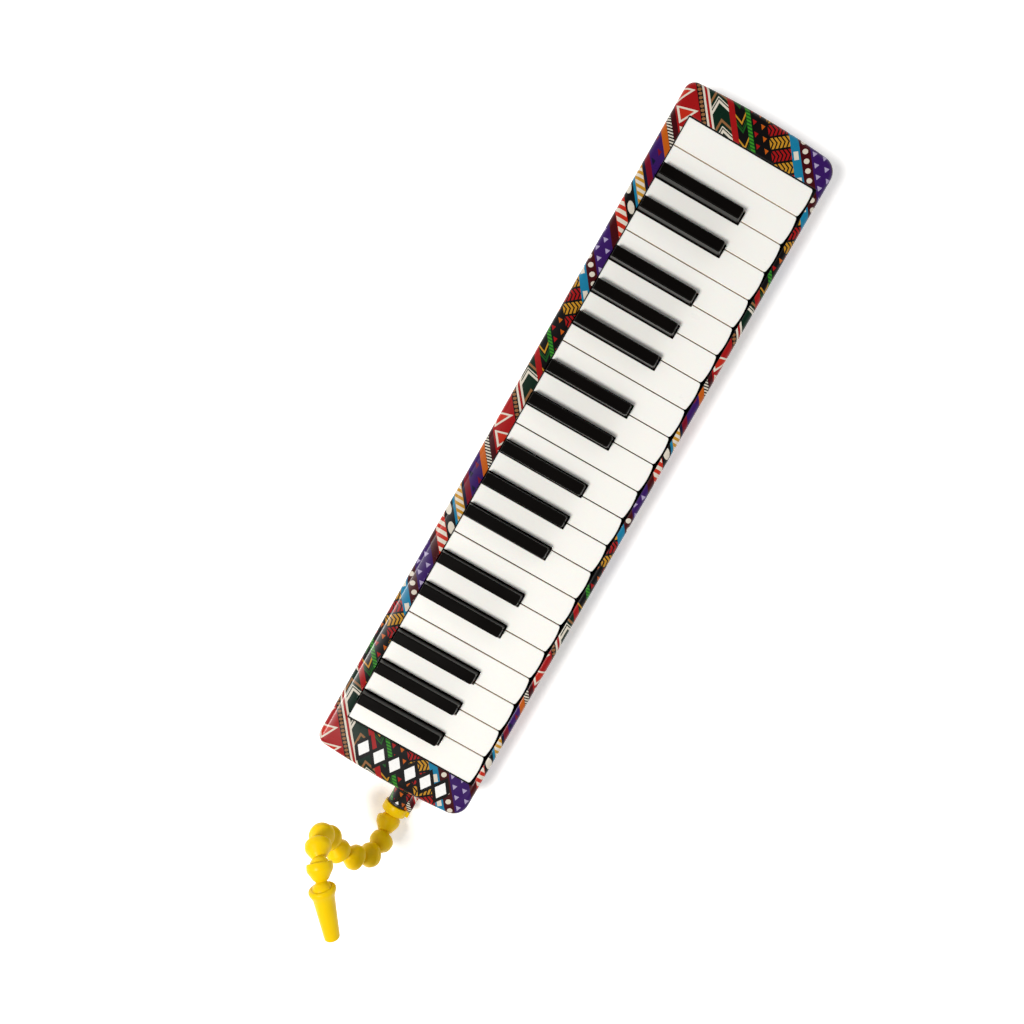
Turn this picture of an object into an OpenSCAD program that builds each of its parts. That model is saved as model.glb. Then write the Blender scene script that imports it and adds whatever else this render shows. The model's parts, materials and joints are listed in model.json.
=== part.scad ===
// A 37-key melodica: a keyed free-reed wind instrument with a jointed blow hose.
// Origin at the middle of the flat underside, +X to the high notes, +Y to the
// rear, away from the player, +Z up. Millimetres.

/* [Case] */
// Length of the case from end to end
case_l = 450; // [448:1:458]
// Depth of the case from front to rear
case_w = 100; // [99.5:0.5:102]
// Height of the frame round the keys
case_h = 42; // [42:0.5:44]
// Height of the joint between the two shells
split_z = 19; // [18.5:0.5:20]
// Thickness of the side walls
wall = 2.2; // [1.8:0.1:2.4]
// Thickness of the top of the upper shell
roof = 2.4; // [2:0.1:2.6]
// Thickness of the floor of the lower shell
floor_t = 2.4; // [2:0.1:2.6]
// How far each end bows outward in plan
end_bow = 2.4; // [1.5:0.1:3]
// Plan radius of the two front corners
front_corner = 10; // [9:0.5:11]
// Plan radius of the two rear corners
rear_corner = 6.5; // [6:0.5:8]
// Rounding of the upper edge
top_round = 3; // [2:0.5:4]
// Rounding of the lower edge
bottom_round = 5.5; // [4:0.5:5.5]

/* [Keys] */
// Pitch of the white keys
pitch = 18.4; // [18.2:0.05:18.4]
// Gap between two white keys
key_gap = 0.6; // [0.5:0.1:0.8]
// Middle of the keyboard, right of the middle of the case
key_mid = 1.5; // [1:0.5:2]
// Height of the top of the white keys
white_top = 41; // [40.5:0.5:41]
// Front end of the white keys
white_front = -44.6; // [-44.8:0.1:-44.4]
// Rear end of the visible part of all the keys
key_rear = 39.4; // [39:0.2:39.6]
// How far the front of a white key bulges forward
front_bulge = 1; // [0.6:0.1:1.2]
// Width of a black key at its foot
black_w = 7.8; // [7.6:0.1:8.6]
// Width of a black key at its top
black_top_w = 7; // [6.6:0.1:7.4]
// Height of the black keys over the white keys
black_rise = 9; // [8:0.5:10]
// Front end of the black keys
black_front = -15.5; // [-16:0.1:-15]

/* [Action] */
// Distance of the key pivot behind the middle of the case
pivot_y = 20; // [19.5:0.5:20.5]
// Height of the key pivot
pivot_z = 30; // [29.8:0.1:30.2]
// Radius of the pivot rod
rod_r = 1.5; // [1.3:0.1:1.5]
// Running clearance of the keys on the rod
rod_fit = 0.06; // [0.05:0.01:0.08]
// Radius of the boss that the rod goes through
boss_r = 4; // [3.6:0.1:4]
// Width of the levers under the keys
lever_w = 5; // [4.6:0.1:5]
// Distance of the key springs in front of the middle of the case
spring_y = 8; // [7:0.5:9]
// Outer radius of a key spring
spring_r = 2.4; // [2.2:0.1:2.4]

/* [Hose] */
// Distance of the blow socket in front of the middle of the case
socket_y = 14.5; // [14:0.5:15]
// Height of the axis of the blow socket
socket_z = 15; // [14.5:0.5:15.5]
// Outer radius of the blow socket
socket_r = 6.9; // [6.7:0.1:7]
// How far the blow socket stands out of the case
socket_out = 17; // [16.5:0.5:17.5]
// Pitch of the hose links, from ball centre to ball centre
link_pitch = 13.2; // [13:0.1:13.4]
// Radius of the ball on the end of a link
ball_r = 5.7; // [5.6:0.05:5.75]
// Radius of the socket that the next ball sits in
cup_r = 5.9; // [5.85:0.05:6]
// Radius of the air bore through the hose
air_r = 2.2; // [2:0.1:2.3]
// Length of the mouthpiece from its ball centre
mouth_l = 29.5; // [29:0.5:31]

/* [Hidden] */
$fn = 48;
eps = 0.01;

n_white = 22;
// Boundaries between white keys, counted from the low end, that hold a black key
black_at = [for (octave = [0 : 2]) for (b = [1, 2, 3, 5, 6]) 7 * octave + b];
// How far each of the five black keys of an octave stands off its boundary
black_off = [-3, 0, 3, -1.6, 1.6];
n_black = len(black_at);
// Clearance between a black key and the white keys beside it, and before it
side_gap = 0.55;
nose_gap = 0.9;

keys_x0 = key_mid - n_white * pitch / 2;
keys_x1 = keys_x0 + n_white * pitch;
window_gap = 0.9;
window_front = white_front - 1;
window_rear = key_rear + window_gap;

function two(n) = str(n < 10 ? "0" : "", n);
white_names = [for (i = [1 : n_white]) str("white_key_", two(i))];
black_names = [for (i = [1 : n_black]) str("black_key_", two(i))];

// Directions of the hose links and, last, the mouthpiece: turn about the
// vertical from +X, and rise over the horizontal
link_yaw = [191, 160, 103, 84, 52, 51, 208, 228, 220, 219];
link_rise = [32, 57, 52, 33, 28, 61, 85, 52, 21, -6];
n_links = 9;
link_names = [for (i = [1 : n_links]) str("hose_link_", i)];

// ---- places of the keys ----

function key_lo(i) = keys_x0 + i * pitch + key_gap / 2;
function key_hi(i) = keys_x0 + (i + 1) * pitch - key_gap / 2;
function black_x(j) = keys_x0 + black_at[j] * pitch + black_off[j % 5];
function blacks_on(boundary) = search(boundary, black_at);
// The white key's narrow rear part lies between the black keys
function stem_lo(i) = len(blacks_on(i)) > 0
    ? black_x(blacks_on(i)[0]) + black_w / 2 + side_gap : key_lo(i);
function stem_hi(i) = len(blacks_on(i + 1)) > 0
    ? black_x(blacks_on(i + 1)[0]) - black_w / 2 - side_gap : key_hi(i);
function white_lever_x(i) = (stem_lo(i) + stem_hi(i)) / 2;
lever_xs = concat(
    [for (i = [0 : n_white - 1]) white_lever_x(i)],
    [for (j = [0 : n_black - 1]) black_x(j)]
);

// ---- places in the hose ----

function aim(yaw, rise) = [cos(rise) * cos(yaw), cos(rise) * sin(yaw), sin(rise)];
case_end = -case_l / 2;
collar_l = 6.2;
// The collar stands clear of the first link's bell at its steepest bend
collar_gap = 5.8;
neck_r = 3.2;
ball0 = [case_end - socket_out - collar_l - collar_gap, -socket_y, socket_z];
function ball(k) = k == 0 ? ball0
    : ball(k - 1) + link_pitch * aim(link_yaw[k - 1], link_rise[k - 1]);

// ---- heights in the action ----

white_t = 2.4;
skirt_t = 2;
side_skirt_t = 1.2;
side_skirt_z = pivot_z + 4.5;
lever_z = pivot_z + 1;
black_foot_z = pivot_z + 4;
arm_rear = 46;
arm_z0 = pivot_z - 2.5;
pad_t = 1.45;
foot_z = arm_z0 - 2;
chest_top = foot_z - pad_t - 0.05;
pad_y0 = 31;
pad_y1 = 45;
slot_y0 = 33;
slot_y1 = 43;
rail_front = -41.6;
rail_rear = -39.2;
rail_z = pivot_z - 0.2;

// ---- wind chest ----

chest_x0 = keys_x0 - 2.1;
chest_x1 = keys_x1 + 2.1;
chest_y0 = 12;
chest_y1 = 46.8;
chest_z0 = 8;
chest_wall = 2;
duct_x0 = case_end + 4;
duct_x1 = chest_x0 + chest_wall;
duct_y0 = -24;
duct_y1 = 30;
ledge_y0 = -14;
ledge_z1 = 19;
ledge_t = 2;
plate_t = 1.2;
plate_z = chest_top - chest_wall - plate_t;
reed_t = 0.3;

// Screw places: case ends, chest, strap
end_screws = [
    [-213, -37], [-213, 39], [214.5, -38], [214.5, 0], [214.5, 39]
];
chest_screws = [for (x = [-168, -56, 56, 168]) [x, 2]];
strap_y = -21;
strap_x = -95;
strap_l = 146;
strap_w = 26;
strap_t = 1.8;
recess_z = 2.6;
strap_screws = [for (s = [-1, 1]) [strap_x + s * (strap_l / 2 - 10), strap_y]];
screw_r = 1.4;
head_r = 3;
head_t = 2;

valve_y = 30;
valve_z = 12.5;

// ---- outline of the case ----

function arc(c, r, a0, a1, n) =
    [for (i = [0 : n]) c + r * [cos(a0 + (a1 - a0) * i / n), sin(a0 + (a1 - a0) * i / n)]];

bow_r = (pow(case_w / 2, 2) + pow(end_bow, 2)) / (2 * end_bow);
bow_x = case_l / 2 - bow_r;

// Centre of a corner's arc, tangent to the bowed end and to the long side
function corner_centre(r) = let (y = case_w / 2 - r)
    [bow_x + sqrt(pow(bow_r - r, 2) - y * y), y];
function corner_angle(r) = let (c = corner_centre(r)) atan2(c[1], c[0] - bow_x);

// The plan outline, drawn in by inset all round
function half_outline(inset) = let (
    f = corner_centre(front_corner),
    r = corner_centre(rear_corner),
    fa = corner_angle(front_corner),
    ra = corner_angle(rear_corner)
) concat(
    arc([f[0], -f[1]], front_corner - inset, -90, -fa, 8),
    arc([bow_x, 0], bow_r - inset, -fa, ra, 16),
    arc(r, rear_corner - inset, ra, 90, 8)
);
function flipped(points) = [for (i = [len(points) - 1 : -1 : 0]) [-points[i][0], points[i][1]]];
function outline(inset) = concat(half_outline(inset), flipped(half_outline(inset)));

// A rectangle's lower left and upper right corners, with both upper corners rounded
function rounded_end(half, z0, z1, r) = concat(
    [[half, z0]],
    arc([half - r, z1 - r], r, 0, 90, 5),
    arc([r - half, z1 - r], r, 90, 180, 5),
    [[-half, z0]]
);

// A body with the case's outline, flat below and with its upper edge rounded
module rounded_body(h, r) {
    intersection() {
        linear_extrude(h)
            polygon(outline(0));
        translate([-case_l, 0, 0])
            rotate([90, 0, 90])
                linear_extrude(2 * case_l)
                    polygon(rounded_end(case_w / 2, -1, h, r));
        translate([0, case_w, 0])
            rotate([90, 0, 0])
                linear_extrude(2 * case_w)
                    polygon(rounded_end(case_l / 2, -1, h, r));
    }
}

// The space inside the walls
module hollow(z0, z1) {
    translate([0, 0, z0])
        linear_extrude(z1 - z0)
            polygon(outline(wall));
}

module post(place, r, z0, z1) {
    translate([place[0], place[1], z0])
        cylinder(r = r, h = z1 - z0);
}

module block(low, high) {
    translate(low)
        cube(high - low);
}

// A cylinder along X
module bar(x0, x1, y, z, r) {
    translate([x0, y, z])
        rotate([0, 90, 0])
            cylinder(r = r, h = x1 - x0);
}

module socket_hole() {
    bar(case_end - 5, case_end + 8, -socket_y, socket_z, socket_r + 0.2);
}

// ---- shells ----

module top_case() {
    inner_top = case_h - roof;
    color("firebrick")
    difference() {
        union() {
            difference() {
                translate([0, 0, split_z])
                    rounded_body(case_h - split_z, top_round);
                hollow(split_z - 1, inner_top);
            }
            for (p = end_screws)
                post(p, 3.6, split_z, inner_top + 0.5);
        }
        block(
            [keys_x0 - window_gap, window_front, inner_top - 1],
            [keys_x1 + window_gap, window_rear, case_h + 1]
        );
        for (p = end_screws)
            post(p, screw_r, split_z - 1, 31);
        socket_hole();
    }
}

module bottom_case() {
    recess_y = strap_w / 2 + 1;
    recess_x = strap_l / 2 + 2;
    color("black")
    difference() {
        union() {
            difference() {
                translate([0, 0, split_z])
                    mirror([0, 0, 1])
                        rounded_body(split_z, bottom_round);
                hollow(floor_t, split_z + 1);
            }
            block(
                [strap_x - recess_x - 2.4, strap_y - recess_y - 2.4, floor_t - 0.5],
                [strap_x + recess_x + 2.4, strap_y + recess_y + 2.4, recess_z + floor_t]
            );
            block([keys_x0 + 2, rail_front, 1], [keys_x1 - 2, rail_rear, rail_z]);
            for (x = [-160 : 80 : 160])
                block([x - 1, chest_y0 + 2, 1], [x + 1, chest_y1 - 2, chest_z0 - 2]);
            for (p = end_screws)
                post(p, 4.4, 1, split_z);
            for (p = chest_screws)
                post(p, 4.4, 1, 9);
            for (p = strap_screws)
                post(p, 3.4, recess_z, 10);
        }
        block(
            [strap_x - recess_x, strap_y - recess_y, -1],
            [strap_x + recess_x, strap_y + recess_y, recess_z]
        );
        for (p = concat(end_screws, chest_screws))
            post(p, screw_r, -1, split_z + 1);
        for (p = end_screws)
            post(p, head_r + 0.4, -1, 6);
        for (p = chest_screws)
            post(p, head_r + 0.4, -1, 4);
        for (p = strap_screws)
            post(p, screw_r, -1, 9.5);
        bar(case_l / 2 - 10, case_l / 2 + 5, valve_y, valve_z, 4.2);
        socket_hole();
    }
}

// ---- blow socket, wind chest and reeds ----

module blow_socket() {
    guard_y = 9.3;
    guard_z = 6;
    guard_l = socket_out - 0.6;
    flange_r = 9;
    bore_r = 5;
    color("purple")
    difference() {
        union() {
            bar(case_end - socket_out, duct_x0, -socket_y, socket_z, socket_r);
            bar(duct_x0 - 1.2, duct_x0, -socket_y, socket_z, flange_r);
            block(
                [case_end - guard_l, -socket_y - guard_y, socket_z - guard_z],
                [case_end - 0.2, -socket_y, socket_z + guard_z]
            );
        }
        bar(case_end - socket_out - 1, duct_x0 + 1, -socket_y, socket_z, bore_r);
    }
}

module wind_chest() {
    rib_w = 1.6;
    inner_top = chest_top - chest_wall;
    color("dimgray")
    difference() {
        union() {
            block([chest_x0, chest_y0, chest_z0], [chest_x1, chest_y1, chest_top]);
            block([duct_x0, duct_y0, chest_z0], [duct_x1, duct_y1, chest_top]);
            block(
                [keys_x0 + 2, ledge_y0, ledge_z1 - ledge_t],
                [keys_x1 - 2, chest_y0 + 1, ledge_z1]
            );
            for (n = [0, 4, 7, 11, 14, 18, 21, 22])
                let (x = n == 0 ? keys_x0 - 1 : n == 22 ? keys_x1 + 1 : keys_x0 + n * pitch)
                    block(
                        [x - rib_w / 2, pivot_y - 5, chest_top - 1],
                        [x + rib_w / 2, pivot_y + 5, pivot_z + 4]
                    );
            for (x = lever_xs)
                post([x, -spring_y], spring_r - 0.8, ledge_z1 - 1, ledge_z1 + 5);
            for (p = chest_screws)
                post(p, 3.4, 9, ledge_z1 - 1);
        }
        block(
            [chest_x0 + chest_wall, chest_y0 + chest_wall, chest_z0 - 1],
            [chest_x1 - chest_wall, chest_y1 - chest_wall, inner_top]
        );
        block(
            [duct_x0 + chest_wall, duct_y0 + chest_wall, chest_z0 - 1],
            [chest_x0 - eps, duct_y1 - chest_wall, inner_top]
        );
        block(
            [chest_x0 - 1, chest_y0 + chest_wall, chest_z0 - 1],
            [chest_x0 + chest_wall + 1, duct_y1 - chest_wall, inner_top]
        );
        for (x = lever_xs)
            block([x - 2, slot_y0, inner_top - 1], [x + 2, slot_y1, chest_top + 1]);
        for (p = chest_screws)
            post(p, screw_r, 8, 15.5);
        bar(duct_x0 - 1, duct_x0 + chest_wall + 1, -socket_y, socket_z, 5);
        bar(keys_x0 - 4, keys_x1 + 4, pivot_y, pivot_z, rod_r);
        bar(chest_x1 - chest_wall - 1, chest_x1 + 1, valve_y, valve_z, 1.8);
    }
}

module chest_cover() {
    cover_t = 2;
    color("gray") {
        block([chest_x0, chest_y0, chest_z0 - cover_t], [chest_x1, chest_y1, chest_z0]);
        block([duct_x0, duct_y0, chest_z0 - cover_t], [chest_x0 + eps, duct_y1, chest_z0]);
    }
}

// The low reeds are the long ones
function reed_l(x) = 25 - 13 * (x - keys_x0) / (keys_x1 - keys_x0);

module reed_plates() {
    plates = 3;
    span = (chest_x1 - chest_x0 - 2 * chest_wall - 2) / plates;
    color("goldenrod")
    difference() {
        for (k = [0 : plates - 1])
            let (x = chest_x0 + chest_wall + 1 + k * span)
                block(
                    [x + 0.3, chest_y0 + chest_wall + 1, plate_z],
                    [x + span - 0.3, chest_y1 - chest_wall - 0.5, plate_z + plate_t]
                );
        for (x = lever_xs)
            block(
                [x - 1.2, slot_y1 - reed_l(x), plate_z - 1],
                [x + 1.2, slot_y1, plate_z + plate_t + 1]
            );
    }
}

module reeds() {
    color("gold")
    for (x = lever_xs)
        block(
            [x - 1, slot_y1 - reed_l(x) - 2.5, plate_z - reed_t],
            [x + 1, slot_y1 - 0.3, plate_z]
        );
}

// ---- action ----

module key_rod() {
    color("silver")
    bar(keys_x0 - 3, keys_x1 + 3, pivot_y, pivot_z, rod_r);
}

module key_springs() {
    color("silver")
    for (x = lever_xs)
        difference() {
            post([x, -spring_y], spring_r, ledge_z1, lever_z);
            post([x, -spring_y], spring_r - 0.5, ledge_z1 - 1, lever_z + 1);
        }
}

// Lever, rod boss, rear arm and the foot that carries the pad
module lever(x, top_z) {
    half = lever_w / 2;
    block([x - half, ledge_y0, lever_z], [x + half, pivot_y + 10, top_z]);
    bar(x - half, x + half, pivot_y, pivot_z, boss_r);
    block([x - half, pivot_y, arm_z0], [x + half, arm_rear, pivot_z + 4]);
    block([x - 3.3, pad_y0 + 1, foot_z], [x + 3.3, pad_y1 - 1, arm_z0 + eps]);
}

module pad(x) {
    color("tan")
    block([x - 3.5, pad_y0, foot_z - pad_t], [x + 3.5, pad_y1, foot_z - 0.02]);
}

module rod_bore(x) {
    bar(x - lever_w, x + lever_w, pivot_y, pivot_z, rod_r + rod_fit);
}

// The wide front part of a white key, with a bulging front
module white_front_plan(x0, x1, shrink) {
    half = (x1 - x0) / 2;
    bulge_r = (half * half + front_bulge * front_bulge) / (2 * front_bulge);
    intersection() {
        translate([x0 + shrink, white_front])
            square([2 * (half - shrink), black_front - nose_gap - white_front]);
        translate([x0 + half, white_front + bulge_r])
            circle(r = bulge_r - shrink, $fn = 96);
    }
}

module white_key(i) {
    x0 = key_lo(i);
    x1 = key_hi(i);
    nose = black_front - nose_gap;
    under = white_top - white_t;
    color("ivory") {
        difference() {
            union() {
                difference() {
                    translate([0, 0, pivot_z])
                        linear_extrude(white_top - pivot_z)
                            white_front_plan(x0, x1, 0);
                    block(
                        [x0 + side_skirt_t, white_front + skirt_t, pivot_z - 1],
                        [x1 - side_skirt_t, nose + 1, under]
                    );
                    block(
                        [x0 - 1, white_front + skirt_t, pivot_z - 1],
                        [x1 + 1, nose + 1, side_skirt_z]
                    );
                }
                block([stem_lo(i), nose - 1, under], [stem_hi(i), key_rear, white_top]);
                lever(white_lever_x(i), under + eps);
            }
            rod_bore(white_lever_x(i));
        }
    }
    pad(white_lever_x(i));
}

module black_key(j) {
    x = black_x(j);
    top = white_top + black_rise;
    nose_slope = 1.6;
    // Upper part: narrower towards the top, with a sloping nose
    side_plan = [
        [black_front, white_top],
        [key_rear, white_top],
        [key_rear, top],
        [black_front + nose_slope, top]
    ];
    end_plan = [
        [-black_w / 2, white_top],
        [black_w / 2, white_top],
        [black_top_w / 2, top],
        [-black_top_w / 2, top]
    ];
    color([0.1, 0.09, 0.09]) {
        difference() {
            union() {
                intersection() {
                    translate([x - black_w, 0, 0])
                        rotate([90, 0, 90])
                            linear_extrude(2 * black_w)
                                polygon(side_plan);
                    translate([x, key_rear + 1, 0])
                        rotate([90, 0, 0])
                            linear_extrude(key_rear - black_front + 2)
                                polygon(end_plan);
                }
                block(
                    [x - black_w / 2, black_front, black_foot_z],
                    [x + black_w / 2, key_rear, white_top]
                );
                lever(x, black_foot_z + eps);
            }
            rod_bore(x);
        }
    }
    pad(x);
}

// ---- hose: lengths here run along a piece's own axis, from its cup centre ----

module along(place, yaw, rise) {
    translate(place)
        rotate([0, 90 - rise, yaw])
            children();
}

module cone(s0, r0, s1, r1) {
    translate([0, 0, s0])
        cylinder(h = s1 - s0, r1 = r0, r2 = r1);
}

// The ball end, cut flat at its tip
module ball_end(s) {
    intersection() {
        translate([0, 0, s])
            sphere(r = ball_r, $fn = 64);
        cone(s - ball_r, ball_r + 1, s + 4.5, ball_r + 1);
    }
}

// The bell that grips the ball behind it
module bell() {
    cone(-2, 7, -1, 7.5);
    cone(-1, 7.5, 2.4, 7.3);
}

module cup_and_bore(s_end) {
    sphere(r = cup_r, $fn = 64);
    cone(-3, air_r, s_end, air_r);
}

module hose_link(k) {
    cone_end = 7.3;
    neck_start = cone_end + 1;
    color("gold")
    along(ball(k - 1), link_yaw[k - 1], link_rise[k - 1])
        difference() {
            union() {
                bell();
                cone(2.4, 7.3, cone_end, 4.3);
                cone(cone_end, 4.3, neck_start, neck_r);
                cone(neck_start, neck_r, link_pitch, neck_r);
                ball_end(link_pitch);
            }
            cup_and_bore(link_pitch + 6);
        }
}

module mouthpiece() {
    color("gold")
    along(ball(n_links), link_yaw[n_links], link_rise[n_links])
        difference() {
            union() {
                cone(-2, 7.2, -0.8, 7.8);
                cone(-0.8, 7.8, 1, 7.6);
                cone(1, 7.6, 4.5, 6.1);
                cone(4.5, 6.1, mouth_l - 0.8, 4.4);
                cone(mouth_l - 0.8, 4.4, mouth_l, 3.7);
            }
            cup_and_bore(mouth_l + 1);
        }
}

module hose_adapter() {
    collar_x0 = ball0[0] + collar_gap;
    collar_x1 = collar_x0 + collar_l;
    spigot_r = 4.9;
    color("gold")
    difference() {
        union() {
            bar(collar_x0, collar_x1, -socket_y, socket_z, 8);
            bar(collar_x1 - 1, collar_x1 + 9, -socket_y, socket_z, spigot_r);
            bar(ball0[0], collar_x0 + 1, -socket_y, socket_z, neck_r);
            along(ball0, 180, 0)
                ball_end(0);
            block(
                [collar_x0 + 1.5, -socket_y - 9.6, socket_z - 2],
                [collar_x1 - 1, -socket_y - 6, socket_z + 2]
            );
        }
        bar(ball0[0] - 8, collar_x1 + 10, -socket_y, socket_z, air_r);
    }
}

// ---- outside parts ----

module drain_valve() {
    seat_x = chest_x1 - chest_wall - 0.1;
    cap_x0 = case_l / 2 - 9;
    color("black") {
        bar(cap_x0, case_l / 2 + 1.3, valve_y, valve_z, 4);
        bar(case_l / 2 - 5.2, case_l / 2 - 4.2, valve_y, valve_z, 5.2);
        bar(seat_x - 1, cap_x0 + 1, valve_y, valve_z, 1.6);
        bar(seat_x - 1, seat_x, valve_y, valve_z, 3.4);
    }
}

module hand_strap() {
    color("dimgray")
    difference() {
        block(
            [strap_x - strap_l / 2, strap_y - strap_w / 2, recess_z - strap_t],
            [strap_x + strap_l / 2, strap_y + strap_w / 2, recess_z]
        );
        for (p = strap_screws)
            post(p, screw_r, 0, 4);
    }
}

// A self-tapping screw driven up from below
module screw(p, head_z, head_h, tip_z) {
    post(p, head_r, head_z - head_h, head_z);
    post(p, screw_r, head_z - eps, tip_z);
}

module case_screws() {
    color("silver") {
        for (p = end_screws)
            screw(p, 6, head_t, 30);
        for (p = chest_screws)
            screw(p, 4, head_t, 15);
        for (p = strap_screws)
            screw(p, recess_z - strap_t, 0.7, 9);
    }
}

for (i = [0 : n_white - 1])
    white_key(i);
for (j = [0 : n_black - 1])
    black_key(j);
hose_adapter();
for (k = [1 : n_links])
    hose_link(k);
mouthpiece();
top_case();
bottom_case();
blow_socket();
wind_chest();
chest_cover();
reed_plates();
reeds();
key_rod();
key_springs();
drain_valve();
hand_strap();
case_screws();
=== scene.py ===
"""The looks of a 37-key melodica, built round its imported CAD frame. Metres, in the frame's axes."""

import json
import math

import bmesh
import bpy
from mathutils import Matrix, Vector


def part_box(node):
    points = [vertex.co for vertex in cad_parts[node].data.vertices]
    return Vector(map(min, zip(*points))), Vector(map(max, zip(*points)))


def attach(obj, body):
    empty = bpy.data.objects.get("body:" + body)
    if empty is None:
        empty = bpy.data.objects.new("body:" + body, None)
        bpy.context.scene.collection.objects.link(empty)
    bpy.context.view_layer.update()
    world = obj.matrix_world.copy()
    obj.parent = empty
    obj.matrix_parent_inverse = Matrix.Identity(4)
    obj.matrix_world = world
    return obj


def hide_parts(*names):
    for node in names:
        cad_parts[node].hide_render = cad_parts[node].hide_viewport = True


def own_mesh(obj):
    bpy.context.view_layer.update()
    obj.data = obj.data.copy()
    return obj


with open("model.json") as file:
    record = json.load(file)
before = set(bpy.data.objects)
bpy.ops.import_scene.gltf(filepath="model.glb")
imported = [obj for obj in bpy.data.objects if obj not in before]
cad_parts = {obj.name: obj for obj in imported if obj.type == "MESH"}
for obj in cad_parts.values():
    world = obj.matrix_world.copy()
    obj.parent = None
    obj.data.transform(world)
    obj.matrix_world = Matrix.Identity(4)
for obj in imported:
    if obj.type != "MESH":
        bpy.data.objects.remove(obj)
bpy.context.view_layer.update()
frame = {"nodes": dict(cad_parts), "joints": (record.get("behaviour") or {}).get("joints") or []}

MM = 0.001
WHITES = sorted(n for n in frame["nodes"] if n.startswith("white_key"))
BLACKS = sorted(n for n in frame["nodes"] if n.startswith("black_key"))
KEY_NODES = WHITES + BLACKS
LINKS = [f"hose_link_{k}" for k in range(1, 10)]
JOINTS = {j["name"]: j for j in frame["joints"]}

CASE_LOW, CASE_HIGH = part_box("top_case")
BASE_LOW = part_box("bottom_case")[0]
HALF_L = CASE_HIGH.x
HALF_W = CASE_HIGH.y
TOP_Z = CASE_HIGH.z
SPLIT_Z = CASE_LOW.z
WALL = 2.2 * MM
GROOVE = 0.3 * MM
END_BOW = 2.4 * MM
FRONT_CORNER = 10 * MM
REAR_CORNER = 6.5 * MM
TOP_ROUND = 3 * MM
BOTTOM_ROUND = 5.5 * MM
FLAT_WALL = 2.4 * MM
KEY_REAR = 39.4 * MM
WINDOW_GAP = 0.55 * MM

KEYS_X0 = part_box(WHITES[0])[0].x
KEYS_X1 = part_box(WHITES[-1])[1].x
KEY_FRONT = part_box(WHITES[0])[0].y
WHITE_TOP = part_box(WHITES[0])[1].z
BLACK_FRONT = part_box(BLACKS[0])[0].y


# ---- camera, light and floor


def add_camera():
    """The photo's camera, solved from the lines of the keys."""
    forward = Vector((-0.0621, -0.0405, -0.9972)).normalized()
    up = Vector((0.8665, 0.4937, -0.0740))
    right = forward.cross(up).normalized()
    up = right.cross(forward)
    data = bpy.data.cameras.new("camera")
    data.sensor_width = 36
    data.lens = 38.67
    camera = bpy.data.objects.new("camera", data)
    turn = Matrix((right, up, -forward)).transposed().to_4x4()
    camera.matrix_world = Matrix.Translation((-0.0052, 0.0415, 0.6897)) @ turn
    bpy.context.scene.collection.objects.link(camera)
    bpy.context.scene.camera = camera


def add_key_light():
    data = bpy.data.lights.new("key_light", "AREA")
    data.shape = "DISK"
    data.size = 0.50
    data.energy = 40
    data.color = (1.0, 0.985, 0.955)
    light = bpy.data.objects.new("key_light", data)
    place = Vector((-0.66, 0.60, 1.97))
    turn = (-place).to_track_quat("-Z", "Y").to_matrix().to_4x4()
    light.matrix_world = Matrix.Translation(place) @ turn
    bpy.context.scene.collection.objects.link(light)


def add_sky():
    """A white dome with a dark patch straight above, so level glossy faces stay deep."""
    world = bpy.data.worlds.new("studio")
    bpy.context.scene.world = world
    world.use_nodes = True
    tree = world.node_tree
    background = tree.nodes["Background"]
    aim = tree.nodes.new("ShaderNodeTexCoord")
    split = tree.nodes.new("ShaderNodeSeparateXYZ")
    tree.links.new(aim.outputs["Generated"], split.inputs[0])
    fade = tree.nodes.new("ShaderNodeMapRange")
    fade.interpolation_type = "SMOOTHSTEP"
    fade.inputs["From Min"].default_value = math.cos(math.radians(50))
    fade.inputs["From Max"].default_value = math.cos(math.radians(29))
    fade.inputs["To Min"].default_value = 0.62
    fade.inputs["To Max"].default_value = 0.03
    tree.links.new(split.outputs["Z"], fade.inputs["Value"])
    tree.links.new(fade.outputs[0], background.inputs["Strength"])
    background.inputs["Color"].default_value = (1, 1, 1, 1)


def add_stage():
    add_sky()
    add_key_light()
    bm = bmesh.new()
    bmesh.ops.create_grid(bm, x_segments=8, y_segments=8, size=3)
    floor = finish_mesh(bm, "floor", [floor_material()])
    floor.location.z = -0.0002
    bpy.context.scene.view_settings.view_transform = "Standard"


# ---- mesh helpers


def finish_mesh(bm, name, materials, smooth_angle=None):
    """Turn a bmesh into an object, smooth up to an edge angle in degrees."""
    mesh = bpy.data.meshes.new(name)
    bm.to_mesh(mesh)
    bm.free()
    obj = bpy.data.objects.new(name, mesh)
    bpy.context.scene.collection.objects.link(obj)
    for material in materials:
        mesh.materials.append(material)
    if smooth_angle is not None:
        smooth(obj, smooth_angle)
    return obj


def smooth(obj, angle):
    obj.data.shade_smooth()
    obj.data.set_sharp_from_angle(angle=math.radians(angle))


def add_piece(obj, body, replaces=()):
    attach(obj, body)
    if replaces:
        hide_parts(*replaces)


def outward(bm):
    """Turn every face of a closed mesh outward."""
    bmesh.ops.recalc_face_normals(bm, faces=bm.faces)
    return bm


def in_mm(points):
    """Profile points written in millimetres, in metres."""
    return [(s * MM, r * MM) for s, r in points]


def box_mesh(bm, low, high):
    """Add a closed box between two corners and return its faces."""
    made = bmesh.ops.create_cube(bm, size=1)["verts"]
    low, high = Vector(low), Vector(high)
    for v in made:
        v.co = Vector(a + (b - a) * (c + 0.5) for a, b, c in zip(low, high, v.co))
    return list(dict.fromkeys(f for v in made for f in v.link_faces))


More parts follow.
